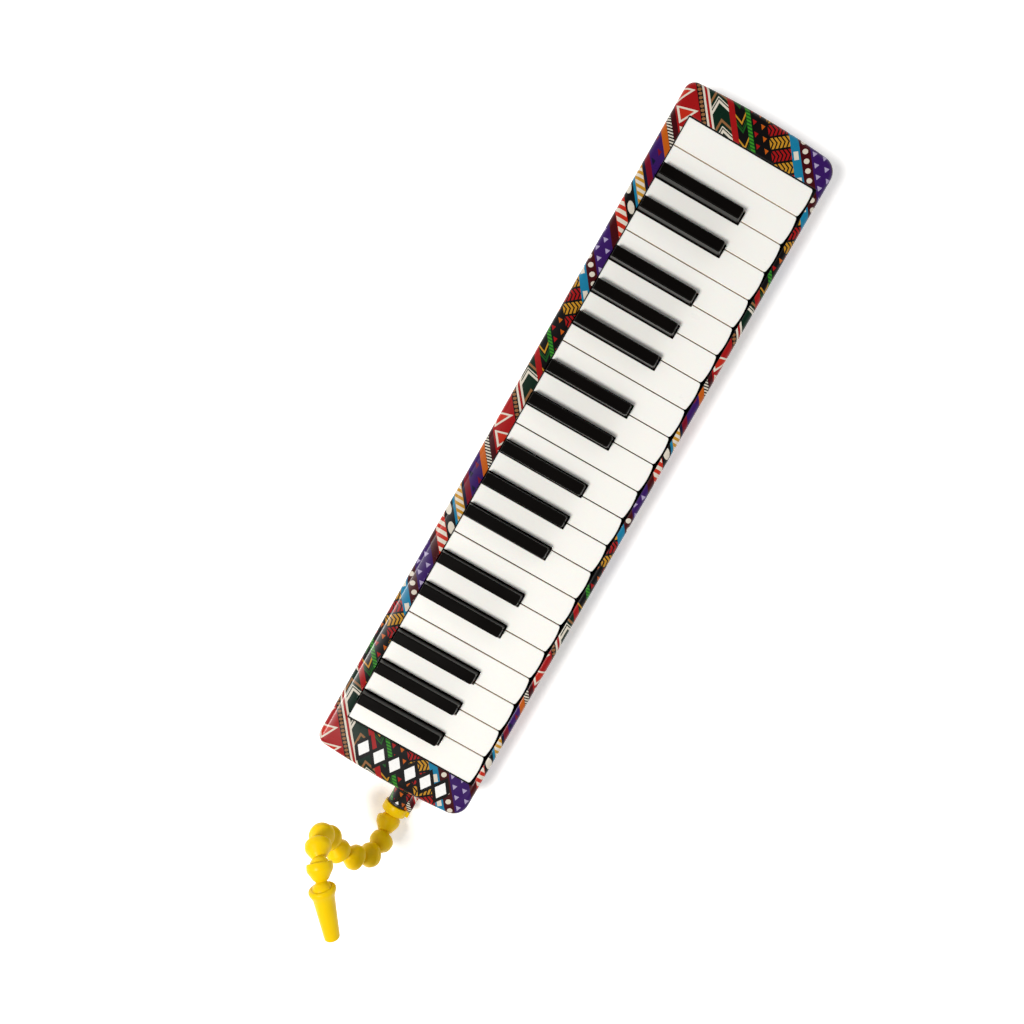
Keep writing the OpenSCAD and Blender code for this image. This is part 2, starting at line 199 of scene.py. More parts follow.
def rounded_box(bm, low, high, radius, segments):
    faces = box_mesh(bm, low, high)
    edges = list(dict.fromkeys(e for f in faces for e in f.edges))
    bmesh.ops.bevel(
        bm, geom=edges, offset=radius, segments=segments, profile=0.5, affect="EDGES"
    )


def box_object(name, low, high, radius, segments, material, smooth_angle=50):
    """One rounded box as an object of its own."""
    bm = bmesh.new()
    rounded_box(bm, low, high, radius, segments)
    return finish_mesh(bm, name, [material], smooth_angle)


def lathe(bm, profile, steps, place):
    """Turn (distance along, radius) points about local Z into a closed or open skin."""
    rings = []
    for s, r in profile:
        if r < 1e-7:
            rings.append([bm.verts.new(place @ Vector((0, 0, s)))])
            continue
        turn = [2 * math.pi * k / steps for k in range(steps)]
        rings.append([
            bm.verts.new(place @ Vector((r * math.cos(a), r * math.sin(a), s)))
            for a in turn
        ])
    for a, b in zip(rings, rings[1:]):
        for k in range(steps):
            n = (k + 1) % steps
            corners = [a[k % len(a)], a[n % len(a)], b[n % len(b)], b[k % len(b)]]
            corners = list(dict.fromkeys(corners))
            if len(corners) > 2:
                bm.faces.new(corners)
    return rings


def closed_lathe(bm, profile, steps, place):
    """A lathe whose profile comes back to its first point, as a tube's does."""
    rings = lathe(bm, profile, steps, place)
    join_rings(bm, rings[-1], rings[0])


def join_rings(bm, a, b):
    for k in range(len(a)):
        n = (k + 1) % len(a)
        bm.faces.new((a[k], a[n], b[n], b[k]))


def joined(verts):
    """Some corners and all that edges join to them."""
    found, stack = dict.fromkeys(verts), list(verts)
    while stack:
        for e in stack.pop().link_edges:
            for v in e.verts:
                if v not in found:
                    found[v] = None
                    stack.append(v)
    return list(found)


def extent(verts):
    """The lowest and highest corner of the box round some corners."""
    low = Vector(min(v.co[k] for v in verts) for k in range(3))
    high = Vector(max(v.co[k] for v in verts) for k in range(3))
    return low, high


def arc_points(cx, cy, r, a0, a1, n):
    """Points on an arc, angles in degrees."""
    turn = [math.radians(a0 + (a1 - a0) * k / n) for k in range(n + 1)]
    return [(cx + r * math.cos(a), cy + r * math.sin(a)) for a in turn]


def applied(obj):
    """Bake an object's modifiers into its mesh."""
    graph = bpy.context.evaluated_depsgraph_get()
    mesh = bpy.data.meshes.new_from_object(obj.evaluated_get(graph))
    obj.modifiers.clear()
    obj.data = mesh


def flat_shaded(obj):
    """Give each corner the normal of its widest face, so bevelled flat faces shade flat."""
    # done in millimetres, because both modifiers round off areas this small in metres
    obj.data.transform(Matrix.Scale(1 / MM, 4))
    weigh = obj.modifiers.new("weigh", "WEIGHTED_NORMAL")
    weigh.mode = "FACE_AREA"
    weigh.weight = 100
    weigh.keep_sharp = True
    split = obj.modifiers.new("split", "TRIANGULATE")
    split.min_vertices = 5
    split.keep_custom_normals = True
    applied(obj)
    obj.data.transform(Matrix.Scale(MM, 4))
    return obj


def cut(obj, cutter_bm):
    """Cut closed shapes out of an object. The cut faces take its second material."""
    for f in cutter_bm.faces:
        f.material_index = 1
    cutter = finish_mesh(outward(cutter_bm), "cutter", [])
    modifier = obj.modifiers.new("cut", "BOOLEAN")
    modifier.operation = "DIFFERENCE"
    modifier.solver = "EXACT"
    modifier.object = cutter
    applied(obj)
    bpy.data.objects.remove(cutter)


def along(place, direction):
    """A frame whose local Z runs along a direction."""
    turn = Vector(direction).to_track_quat("Z", "Y").to_matrix().to_4x4()
    return Matrix.Translation(place) @ turn


# ---- shader helpers


class Graph:
    """Short calls that add shader nodes and link them."""

    def __init__(self, name):
        self.material = bpy.data.materials.new(name)
        self.material.use_nodes = True
        self.tree = self.material.node_tree
        self.shader = self.tree.nodes["Principled BSDF"]

    def put(self, socket, value):
        if isinstance(value, bpy.types.NodeSocket):
            self.tree.links.new(value, socket)
        elif isinstance(value, (tuple, list)) and len(value) == 3 and socket.type == "RGBA":
            socket.default_value = (*value, 1)
        else:
            socket.default_value = value

    def node(self, kind, **settings):
        n = self.tree.nodes.new(kind)
        for key, value in settings.items():
            setattr(n, key, value)
        return n

    def math(self, operation, *values):
        n = self.node("ShaderNodeMath", operation=operation)
        for socket, value in zip(n.inputs, values):
            self.put(socket, value)
        return n.outputs[0]

    def add(self, a, b):
        return self.math("ADD", a, b)

    def sub(self, a, b):
        return self.math("SUBTRACT", a, b)

    def mul(self, a, b):
        return self.math("MULTIPLY", a, b)

    def less(self, a, b):
        return self.math("LESS_THAN", a, b)

    def more(self, a, b):
        return self.math("GREATER_THAN", a, b)

    def both(self, a, b):
        return self.mul(a, b)

    def either(self, a, b):
        return self.math("MAXIMUM", a, b)

    def mix(self, share, a, b):
        n = self.node("ShaderNodeMix", data_type="RGBA")
        self.put(n.inputs["Factor"], share)
        self.put(n.inputs[6], a)
        self.put(n.inputs[7], b)
        return n.outputs[2]

    def blend(self, share, low, high):
        """A number between low and high."""
        n = self.node("ShaderNodeMapRange")
        self.put(n.inputs["Value"], share)
        n.inputs["To Min"].default_value = low
        n.inputs["To Max"].default_value = high
        return n.outputs[0]

    def place(self):
        return self.node("ShaderNodeTexCoord").outputs["Object"]

    def noise(self, scale, detail=2.0, where=None, roughness=0.5):
        n = self.node("ShaderNodeTexNoise")
        n.inputs["Scale"].default_value = scale
        n.inputs["Detail"].default_value = detail
        n.inputs["Roughness"].default_value = roughness
        self.put(n.inputs["Vector"], where or self.place())
        return n.outputs["Fac"]

    def stretch(self, where, scale):
        n = self.node("ShaderNodeMapping")
        self.put(n.inputs["Vector"], where)
        n.inputs["Scale"].default_value = scale
        return n.outputs[0]

    def bump(self, height, strength, distance):
        n = self.node("ShaderNodeBump")
        self.put(n.inputs["Height"], height)
        n.inputs["Strength"].default_value = strength
        n.inputs["Distance"].default_value = distance
        self.put(self.shader.inputs["Normal"], n.outputs[0])

    def surface(self, **values):
        for name, value in values.items():
            self.put(self.shader.inputs[name.replace("_", " ").title().replace("Ior", "IOR")], value)
        return self.material


def plastic(name, colour, rough, coat=0.0, grain=0.04, grain_scale=900):
    """Moulded plastic: faint colour drift, roughness smudges and a fine surface grain."""
    g = Graph(name)
    base = g.mix(g.noise(35, 3), tuple(c * 0.94 for c in colour), colour)
    smudge = g.noise(120, 4, roughness=0.65)
    g.bump(g.noise(grain_scale, 2), grain, 0.2 * MM)
    return g.surface(
        base_color=base,
        roughness=g.blend(smudge, rough * 0.75, rough * 1.3),
        coat_weight=coat,
        coat_roughness=0.08,
    )


def metal(name, colour, rough, stretch=(1, 1, 1), grain=0.15):
    """Drawn or rolled metal with fine lines along its length."""
    g = Graph(name)
    lines = g.noise(900, 3, g.stretch(g.place(), stretch))
    base = g.mix(lines, tuple(c * 0.8 for c in colour), colour)
    g.bump(lines, grain, 0.1 * MM)
    return g.surface(base_color=base, metallic=1.0, roughness=g.blend(lines, rough * 0.7, rough * 1.4))


def floor_material():
    g = Graph("floor_paper")
    fibre = g.noise(220, 3)
    base = g.mix(fibre, (0.965, 0.965, 0.965), (0.99, 0.99, 0.99))
    return g.surface(
        base_color=base, roughness=0.9, emission_color=(1, 1, 1), emission_strength=0.36
    )


# ---- the printed pattern

RED = (0.34, 0.006, 0.007)
BRIGHT_RED = (0.50, 0.022, 0.008)
WINE = (0.050, 0.002, 0.004)
BLACK = (0.0035, 0.0028, 0.0030)
CREAM = (0.70, 0.64, 0.54)
TAN = (0.27, 0.12, 0.045)
GOLD = (0.52, 0.25, 0.018)
ORANGE = (0.50, 0.10, 0.006)
GREEN = (0.008, 0.085, 0.010)
LEAF = (0.040, 0.27, 0.018)
FOREST = (0.002, 0.018, 0.009)
TEAL = (0.008, 0.19, 0.34)
NAVY = (0.004, 0.006, 0.030)
PURPLE = (0.036, 0.008, 0.11)
LILAC = (0.40, 0.34, 0.52)
CRIMSON = (0.17, 0.003, 0.016)


class Print(Graph):
    """Slanting bands of geometric motifs, laid out in millimetres on the unrolled case."""

    def saw(self, p, length):
        """0 to 1 along each repeat."""
        return self.math("FRACT", self.math("DIVIDE", p, length))

    def middle(self, q):
        """Distance from the middle of a 0 to 1 span, 1 at its ends."""
        return self.math("ABSOLUTE", self.sub(self.mul(q, 2), 1))

    def wave(self, p, length):
        return self.middle(self.saw(p, length))

    def plain(self, p, q, a):
        return self.mix(0.0, a, a)

    def triangles(self, p, q, ground, tip, rim, length):
        edge = self.add(q, self.wave(p, length))
        outer = self.both(self.less(edge, 0.95), self.more(q, 0.08))
        inner = self.both(self.less(edge, 0.76), self.more(q, 0.17))
        return self.mix(inner, self.mix(outer, ground, rim), tip)

    def dots(self, p, q, ground, dot, length, size):
        reach = self.math("POWER", self.mul(self.sub(self.saw(p, length), 0.5), 2), 2)
        reach = self.add(reach, self.math("POWER", self.middle(q), 2))
        return self.mix(self.less(reach, size), ground, dot)

    def chevrons(self, p, q, ground, first, second, length, slope):
        s = self.saw(self.add(p, self.mul(self.middle(q), slope)), length)
        one = self.both(self.more(s, 0.10), self.less(s, 0.22))
        echo = self.both(self.more(s, 0.28), self.less(s, 0.33))
        two = self.both(self.more(s, 0.46), self.less(s, 0.58))
        edges = self.mix(self.either(one, echo), ground, first)
        return self.mix(two, edges, second)

    def scatter(self, p, q, ground, first, second, length):
        """Small triangles in two rows, each row with its own colour."""
        row = self.math("FRACT", self.mul(q, 2))
        lower = self.less(q, 0.5)
        shift = self.mul(lower, length * 0.5)
        edge = self.add(row, self.wave(self.add(p, shift), length))
        inside = self.both(self.less(edge, 0.72), self.more(row, 0.22))
        return self.mix(inside, ground, self.mix(lower, first, second))

    def sheaves(self, p, q, ground, first, second, length, strokes):
        """Rows of arrowhead strokes that point across the band, in two colours by turns."""
        middle = self.wave(p, length)
        s = self.math("FRACT", self.add(self.mul(q, strokes), self.mul(middle, 0.9)))
        stroke = self.both(self.less(s, 0.60), self.less(middle, 0.84))
        turn = self.less(self.saw(p, 2 * length), 0.5)
        return self.mix(stroke, ground, self.mix(turn, first, second))

    def blocks(self, p, q, ground, mark, length):
        inside = self.both(self.less(self.middle(q), 0.55), self.less(self.saw(p, length), 0.32))
        return self.mix(inside, ground, mark)

    def weave(self, p, q, ground, light, length):
        s = self.saw(self.add(p, self.mul(q, length * 0.9)), length)
        return self.mix(self.both(self.less(s, 0.5), self.less(self.middle(q), 0.9)), ground, light)


# Each band: width in millimetres, motif, and what the motif needs
BANDS = [
    (14.0, "triangles", (RED, BRIGHT_RED, CREAM, 12.0)),
    (3.2, "dots", (BLACK, TAN, 2.4, 0.55)),
    (1.2, "plain", (CREAM,)),
    (1.4, "plain", (RED,)),
    (1.2, "plain", (CREAM,)),
    (9.6, "chevrons", (FOREST, CREAM, TAN, 17.0, 6.0)),
    (3.4, "plain", (RED,)),
    (5.8, "chevrons", (BLACK, GREEN, GOLD, 14.0, -5.0)),
    (2.6, "weave", (GREEN, LEAF, 2.1)),
    (9.0, "scatter", (BLACK, ORANGE, RED, 7.0)),
    (11.6, "sheaves", (BLACK, GOLD, RED, 7.5, 5.0)),
    (5.0, "blocks", (TEAL, CREAM, 15.0)),
    (6.0, "dots", (WINE, CREAM, 5.6, 0.30)),
    (11.0, "scatter", (PURPLE, LILAC, LILAC, 6.6)),
    (4.4, "plain", (WINE,)),
    (6.5, "weave", (BRIGHT_RED, CREAM, 6.0)),
    (6.0, "dots", (BLACK, CREAM, 12.0, 0.42)),
    (1.5, "plain", (TEAL,)),
    (5.2, "weave", (GOLD, CREAM, 4.6)),
    (1.8, "plain", (NAVY,)),
    (3.4, "plain", (CRIMSON,)),
    (8.4, "scatter", (PURPLE, CRIMSON, NAVY, 9.0)),
    (3.6, "plain", (ORANGE,)),
    (3.2, "weave", (BLACK, CREAM, 1.9)),
    (3.0, "plain", (WINE,)),
]
BAND_ANGLE = math.radians(38.5)
BAND_SHIFT = 44.0
PERIOD = sum(width for width, _, _ in BANDS)


def printed_material():
    """Printed film over black plastic, with a plain row of white diamonds at its low end."""
    g = Print("printed_film")
    where = g.node("ShaderNodeUVMap", uv_map="print").outputs[0]
    split = g.node("ShaderNodeSeparateXYZ")
    g.put(split.inputs[0], where)
    u = g.mul(split.outputs[0], 1000)
    v = g.mul(split.outputs[1], 1000)
    wobble = g.mul(g.sub(g.noise(60, 1, where), 0.5), 0.5)
    p = g.add(g.mul(u, math.cos(BAND_ANGLE)), g.mul(v, math.sin(BAND_ANGLE)))
    across = g.sub(g.mul(u, math.sin(BAND_ANGLE)), g.mul(v, math.cos(BAND_ANGLE)))
    across = g.math("FLOORED_MODULO", g.add(g.add(across, wobble), BAND_SHIFT), PERIOD)
    colour = BLACK
    low = 0.0
    for width, motif, details in BANDS:
        q = g.math("DIVIDE", g.sub(across, low), width)
        band = getattr(g, motif)(p, q, *details)
        inside = g.both(g.more(q, 0.0), g.less(q, 1.0))
        colour = g.mix(inside, colour, band)
        low += width
    colour = add_badge(g, colour, u, v)
    ink = g.noise(900, 2)
    colour = g.mix(g.blend(ink, 0.04, 0.24), colour, BLACK)
    g.bump(g.noise(260, 3), 0.03, 0.3 * MM)
    return g.surface(
        base_color=colour,
        roughness=g.blend(g.noise(150, 4), 0.22, 0.34),
        specular_ior_level=0.22,
        coat_weight=0.12,
        coat_roughness=0.18,
    )


def add_badge(g, colour, u, v):
    """White diamonds with black rims in a row across the low-end frame."""
    centre = (CASE_LOW.x / MM + KEYS_X0 / MM) / 2
    spacing, count = 10.6, 6
    start = -36.0
    cell = g.math("DIVIDE", g.sub(v, start), spacing)
    along_row = g.math("ABSOLUTE", g.sub(g.math("FRACT", cell), 0.5))
    off = g.math("ABSOLUTE", g.sub(u, centre))
    half_width, half_height = 4.6, 6.4
    rim_size, face_size = 1.42, 0.86
    size = g.add(g.mul(along_row, spacing / half_width), g.math("DIVIDE", off, half_height))
    in_row = g.both(g.more(cell, 0.0), g.less(cell, float(count)))
    rim = g.both(in_row, g.less(size, rim_size))
    face = g.both(in_row, g.less(size, face_size))
    return g.mix(face, g.mix(rim, colour, BLACK), (0.93, 0.93, 0.92))


# ---- case shells


def corner_centre(r):
    """The end's slight bow (radius and centre) and the centre of a corner blended into it."""
    bow_r = (HALF_W ** 2 + END_BOW ** 2) / (2 * END_BOW)
    bow_x = HALF_L - bow_r
    y = HALF_W - r
    return bow_r, bow_x, bow_x + math.sqrt((bow_r - r) ** 2 - y * y), y


def outline_stations():
    """(outline point, outward normal, window point, window normal) round the case."""
    bow_r, bow_x, fx, fy = corner_centre(FRONT_CORNER)
    _, _, rx, ry = corner_centre(REAR_CORNER)
    front_turn = math.degrees(math.atan2(fy, fx - bow_x))
    rear_turn = math.degrees(math.atan2(ry, rx - bow_x))
    wx0, wx1 = KEYS_X0 - WINDOW_GAP, KEYS_X1 + WINDOW_GAP
    wy0, wy1 = KEY_FRONT - 1.0 * MM, KEY_REAR + WINDOW_GAP
    wr = 0.8 * MM
    stations = []

    def arc(c, r, wc, a0, a1, n, w_to=None):
        """An arc of the outline, beside a window corner or, with w_to, a window end."""
        for k in range(n):
            share = k / n
            a = math.radians(a0 + (a1 - a0) * share)
            normal = Vector((math.cos(a), math.sin(a)))
            point = Vector(c) + r * normal
            if w_to is None:
                quarter = math.radians(90 * round((a0 + a1) / 180 - 0.5) + 90 * share)
                w_normal = Vector((math.cos(quarter), math.sin(quarter)))
                window = Vector(wc) + wr * w_normal
            else:
                window = Vector(wc).lerp(Vector(w_to), share)
                w_normal = Vector((math.copysign(1, wc[0]), 0))
            stations.append((point, normal, window, w_normal))

    def side(p0, p1, w0, w1, normal, n):
        for k in range(n):
            stations.append((
                Vector(p0).lerp(Vector(p1), k / n), Vector(normal),
                Vector(w0).lerp(Vector(w1), k / n), Vector(normal),
            ))

    # High end, from front to rear
    arc((bow_x, 0), bow_r, (wx1, wy0 + wr), -front_turn, rear_turn, 32, (wx1, wy1 - wr))
    arc((rx, ry), REAR_CORNER, (wx1 - wr, wy1 - wr), rear_turn, 90, 12)
    side((rx, HALF_W), (-rx, HALF_W), (wx1 - wr, wy1), (wx0 + wr, wy1), (0, 1), 90)
    arc((-rx, ry), REAR_CORNER, (wx0 + wr, wy1 - wr), 90, 180 - rear_turn, 12)
    low_end = 180 - rear_turn, 180 + front_turn
    arc((-bow_x, 0), bow_r, (wx0, wy1 - wr), *low_end, 32, (wx0, wy0 + wr))
    arc((-fx, -fy), FRONT_CORNER, (wx0 + wr, wy0 + wr), 180 + front_turn, 270, 12)
    side((-fx, -HALF_W), (fx, -HALF_W), (wx0 + wr, wy0), (wx1 - wr, wy0), (0, -1), 90)
    arc((fx, -fy), FRONT_CORNER, (wx1 - wr, wy0 + wr), 270, 360 - front_turn, 12)
    return stations


OUTER, INNER = 0, 1


def outer_point(station, inset, z, run):
    """A point of the outer skin: its place and its place on the unrolled print."""
    point, normal = station[0], station[1]
    place = point - inset * normal
    flat = point - TOP_ROUND * normal + run * normal
    return (Vector((place.x, place.y, z)), flat)


def window_point(station, out, z):
    """A point of the window's edge: its place and its place on the print."""
    place = station[2] + out * station[3]
    return (Vector((place.x, place.y, z)), place.copy())


def run_at(z):
    """How far down the unrolled print a height on the upright wall lies."""
    return TOP_ROUND * math.pi / 2 + TOP_Z - TOP_ROUND - z


def top_section(station):
    """The upper shell's closed section: (place, print place, material of the next strip)."""
    rows = []

    def skin(inset, z, run, material):
        rows.append((*outer_point(station, inset, z, run), material))

    def window(out, z, material):
        rows.append((*window_point(station, out, z), material))

    skin(GROOVE, SPLIT_Z, run_at(SPLIT_Z), OUTER)
    skin(GROOVE * 0.3, SPLIT_Z + GROOVE * 0.3, run_at(SPLIT_Z), OUTER)
    bend_z = TOP_Z - TOP_ROUND
    for k in range(5):
        z = SPLIT_Z + GROOVE + (bend_z - SPLIT_Z - GROOVE) * k / 5
        skin(0, z, run_at(z), OUTER)
    for k in range(9):
        a = math.pi / 2 * k / 8
        z = bend_z + TOP_ROUND * math.sin(a)
        skin(TOP_ROUND * (1 - math.cos(a)), z, TOP_ROUND * (math.pi / 2 - a), OUTER)
    lip = 0.45 * MM
    for k in range(5):
        a = math.pi / 2 * k / 4
        z = TOP_Z - lip * (1 - math.cos(a))
        window(lip * (1 - math.sin(a)), z, OUTER if k < 3 else INNER)
    under = TOP_Z - FLAT_WALL
    fillet = 0.5 * MM
    window(0, under, INNER)
    skin(WALL + fillet, under, 0, INNER)
    skin(WALL, under - fillet, 0, INNER)
    skin(WALL, SPLIT_Z, 0, INNER)
    return rows


def bottom_section(station):
    """The lower shell's section, from the middle of its underside round to its inside floor."""
    rows = []

    def skin(inset, z, run, material):
        rows.append((*outer_point(station, inset, z, run), material))

    bend_z = BASE_LOW.z + BOTTOM_ROUND
    for k in range(9):
        a = math.pi / 2 * k / 8
        z = BASE_LOW.z + BOTTOM_ROUND * (1 - math.cos(a))
        run = run_at(bend_z) + BOTTOM_ROUND * (math.pi / 2 - a)
        skin(BOTTOM_ROUND * (1 - math.sin(a)), z, run, OUTER)
    for k in range(1, 5):
        z = bend_z + (SPLIT_Z - GROOVE - bend_z) * k / 4
        skin(0, z, run_at(z), OUTER)
    skin(GROOVE * 0.3, SPLIT_Z - GROOVE * 0.3, run_at(SPLIT_Z), OUTER)
    skin(GROOVE, SPLIT_Z, run_at(SPLIT_Z), INNER)
    skin(WALL, SPLIT_Z, run_at(SPLIT_Z), INNER)
    floor_z = BASE_LOW.z + FLAT_WALL
    r = BOTTOM_ROUND - WALL
    for k in range(5):
        a = math.pi / 2 * k / 4
        skin(WALL + r * (1 - math.cos(a)), floor_z + r * (1 - math.sin(a)), 0, INNER)
    return rows


def ring_shell(name, section, closed, materials):
    """Sweep a section round the outline. An open section gets a flat cap at both its ends."""
    bm = bmesh.new()
    layer = bm.loops.layers.uv.new("print")
    stations = [section(s) for s in outline_stations()]
    verts = [[bm.verts.new(place) for place, _, _ in rows] for rows in stations]
    n, m = len(stations), len(stations[0])
    for i in range(n):
        j = (i + 1) % n
        for k in range(m if closed else m - 1):
            l = (k + 1) % m
            face = bm.faces.new((verts[i][k], verts[j][k], verts[j][l], verts[i][l]))
            face.material_index = stations[i][k][2]
            face.smooth = True
            flats = (stations[i][k][1], stations[j][k][1], stations[j][l][1], stations[i][l][1])
            for loop, flat in zip(face.loops, flats):
                loop[layer].uv = flat
    if not closed:
        for k in (0, m - 1):
            bm.faces.new([verts[i][k] for i in range(n)]).material_index = INNER
    return finish_mesh(outward(bm), name, materials, 35)


def x_axis_at(x, y, z):
    """A frame at a place, with its local Z along the case."""
    return along((x, y, z), (1, 0, 0))


def rod_cutter(bm, place, r, length):
    lathe(bm, [(0, 0), (0, r), (length, r), (length, 0)], 40, place)


SOCKET = Vector(JOINTS["hose_swivel"]["pos_m"])
VALVE_LOW, VALVE_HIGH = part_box("drain_valve")
VALVE_Y = (VALVE_LOW.y + VALVE_HIGH.y) / 2
VALVE_Z = (VALVE_LOW.z + VALVE_HIGH.z) / 2
STRAP_LOW, STRAP_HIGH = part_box("hand_strap")


def screw_places():
    """(x, y, z of the head's face, z of the tip) of each screw, from the CAD solids."""
    bm = bmesh.new()
    bm.from_mesh(frame["nodes"]["case_screws"].data)
    bmesh.ops.remove_doubles(bm, verts=bm.verts, dist=1e-6)
    left = dict.fromkeys(bm.verts)
    places = []
    while left:
        screw = joined([next(iter(left))])
        for v in screw:
            del left[v]
        low, high = extent(screw)
        places.append(((low.x + high.x) / 2, (low.y + high.y) / 2, low.z, high.z))
    bm.free()
    return sorted(places)


def make_shells():
    black = plastic("case_black", (0.012, 0.011, 0.012), 0.42, grain=0.10, grain_scale=1500)
    film = printed_material()
    socket_hole = x_axis_at(-HALF_L - 5 * MM, SOCKET.y, SOCKET.z), 7.1 * MM, 12 * MM
    upper = ring_shell("upper_shell", top_section, True, [film, black])
    bm = bmesh.new()
    rod_cutter(bm, *socket_hole)
    cut(upper, bm)
    smooth(upper, 35)
    add_piece(upper, "case", ["top_case"])

    lower = ring_shell("lower_shell", bottom_section, False, [film, black])
    bm = bmesh.new()
    rod_cutter(bm, *socket_hole)
    rod_cutter(bm, x_axis_at(HALF_L - 10 * MM, VALVE_Y, VALVE_Z), 4.2 * MM, 15 * MM)
    for x, y, head, _ in screw_places():
        if head >= STRAP_LOW.z:
            rod_cutter(bm, along((x, y, -MM), (0, 0, 1)), 3.4 * MM, head + 3 * MM)
    cut(lower, bm)
    bm = bmesh.new()
    margin = Vector((MM, MM, 0))
    recess_low, recess_high = STRAP_LOW - margin, STRAP_HIGH + margin
    recess_low.z, recess_high.z = -4 * MM, 2.3 * MM
    rounded_box(bm, recess_low, recess_high, 1.0 * MM, 4)
    cut(lower, bm)
    smooth(lower, 35)
    add_piece(lower, "case", ["bottom_case"])
    return film, black


# ---- keys


def felt_material():
    g = Graph("pad_felt")
    fibre = g.noise(1400, 5, g.stretch(g.place(), (1, 1, 3)), 0.7)
    base = g.mix(fibre, (0.30, 0.20, 0.11), (0.62, 0.47, 0.30))
    g.bump(fibre, 0.6, 0.25 * MM)
    return g.surface(base_color=base, roughness=0.95, sheen_weight=0.4, sheen_roughness=0.5)


def ivory_material():
    """White key plastic: glossy, a touch warm, smudged on top, and painted a shaded brown on its sides
    where they face the gaps between keys.
    """
    g = Graph("white_key_plastic")
    drift = g.noise(18, 3)
    base = g.mix(drift, (0.850, 0.838, 0.795), (0.885, 0.877, 0.845))
    facing = g.node("ShaderNodeSeparateXYZ")
    g.put(facing.inputs[0], g.node("ShaderNodeNewGeometry").outputs["True Normal"])
    # painted shade: faces turned sideways, the key walls seen in the gaps between keys, are coloured
    # brown as the shaded gaps look
    shaded_sides = g.more(g.math("ABSOLUTE", facing.outputs[0]), 0.9)
    base = g.mix(shaded_sides, base, (0.87, 0.75, 0.60))
    smudge = g.noise(70, 5, g.stretch(g.place(), (1, 0.5, 1)), 0.6)
    g.bump(g.noise(700, 2), 0.015, 0.2 * MM)
    return g.surface(
        base_color=base,
        roughness=g.blend(smudge, 0.22, 0.40),
        coat_weight=0.35,
        coat_roughness=0.10,
        subsurface_weight=0.06,
        subsurface_scale=0.002,
    )


def ebony_material():
    g = Graph("black_key_plastic")
    drift = g.noise(45, 3)
    base = g.mix(drift, (0.0020, 0.0017, 0.0016), (0.0042, 0.0033, 0.0028))
    smudge = g.noise(90, 5, g.stretch(g.place(), (1.0, 0.4, 1.0)), 0.65)
    g.bump(g.noise(800, 3), 0.02, 0.2 * MM)
    return g.surface(
        base_color=base,
        roughness=g.blend(smudge, 0.14, 0.30),
        specular_ior_level=0.06,
        coat_weight=0.05,
        coat_roughness=0.16,
    )


def key_mesh(node):
    """The CAD key, welded and with its flat faces whole again."""
    bm = bmesh.new()
    bm.from_mesh(frame["nodes"][node].data)
    bmesh.ops.remove_doubles(bm, verts=bm.verts, dist=2e-6)
    bmesh.ops.dissolve_limit(
        bm, angle_limit=math.radians(1.0), verts=bm.verts, edges=bm.edges, delimit=set()
    )
    return bm


def split_pad(bm):
    """Delete the pad's own faces from the key, and return the pad's corners."""
    low_z = min(v.co.z for v in bm.verts)
    pad = joined([v for v in bm.verts if v.co.z < low_z + 1e-5])
    corners = extent(pad)
    bmesh.ops.delete(bm, geom=pad, context="VERTS")
    return corners


def add_key(node, bm, material, pad_corners, felt):
    """The key's body and the felt pad under its tail."""
    key = flat_shaded(finish_mesh(bm, f"{node}.body", [material], 32))
    add_piece(key, node, [node])
    pad = box_object(f"{node}.pad", *pad_corners, 0.35 * MM, 3, felt)
    add_piece(pad, node)


def round_edges(bm, wanted, radius, segments=4, angle=25):
    """Round the wanted edges that are sharper than an angle in degrees."""
    limit = math.radians(angle)
    edges = [
        e for e in bm.edges
        if len(e.link_faces) == 2 and e.calc_face_angle(0) > limit and wanted(e)
    ]
    bmesh.ops.bevel(
        bm, geom=edges, offset=radius, segments=segments, profile=0.5, affect="EDGES",
        clamp_overlap=False,
    )


def make_white_key(node, material, felt):
    bm = key_mesh(node)
    pad_corners = split_pad(bm)
    top = WHITE_TOP - 0.05 * MM
    front = KEY_FRONT + 5 * MM
    rear = KEY_REAR - 1 * MM

    def on_top(e):
        return all(v.co.z > top for v in e.verts)

    def upright(e):
        a, b = e.verts[0].co, e.verts[1].co
        level = abs(a.x - b.x) < 1e-5 and abs(a.y - b.y) < 1e-5
        return level and max(a.z, b.z) > top and a.y < rear

    def at_front(e):
        return upright(e) and e.verts[0].co.y < front

    def at_notch(e):
        return upright(e) and e.verts[0].co.y > front

    round_edges(bm, at_front, 1.1 * MM, 5, 50)
    round_edges(bm, at_notch, 0.45 * MM, 3, 50)
    round_edges(bm, on_top, 0.35 * MM)
    add_key(node, bm, material, pad_corners, felt)


def make_black_key(node, material, felt):
    bm = key_mesh(node)
    pad_corners = split_pad(bm)
    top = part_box(node)[1].z - 0.05 * MM
    nose = BLACK_FRONT + 2 * MM

    def at_nose(e):
        a, b = e.verts[0].co, e.verts[1].co
        return max(a.y, b.y) < nose and abs(a.z - b.z) > 5 * MM

    def on_top(e):
        return all(v.co.z > top for v in e.verts)

    round_edges(bm, at_nose, 1.2 * MM, 5)
    round_edges(bm, on_top, 0.75 * MM, 5)
    add_key(node, bm, material, pad_corners, felt)


def make_keys():
    ivory, ebony, felt = ivory_material(), ebony_material(), felt_material()
    for node in WHITES:
        make_white_key(node, ivory, felt)
    for node in BLACKS:
        make_black_key(node, ebony, felt)
    return felt


# ---- springs


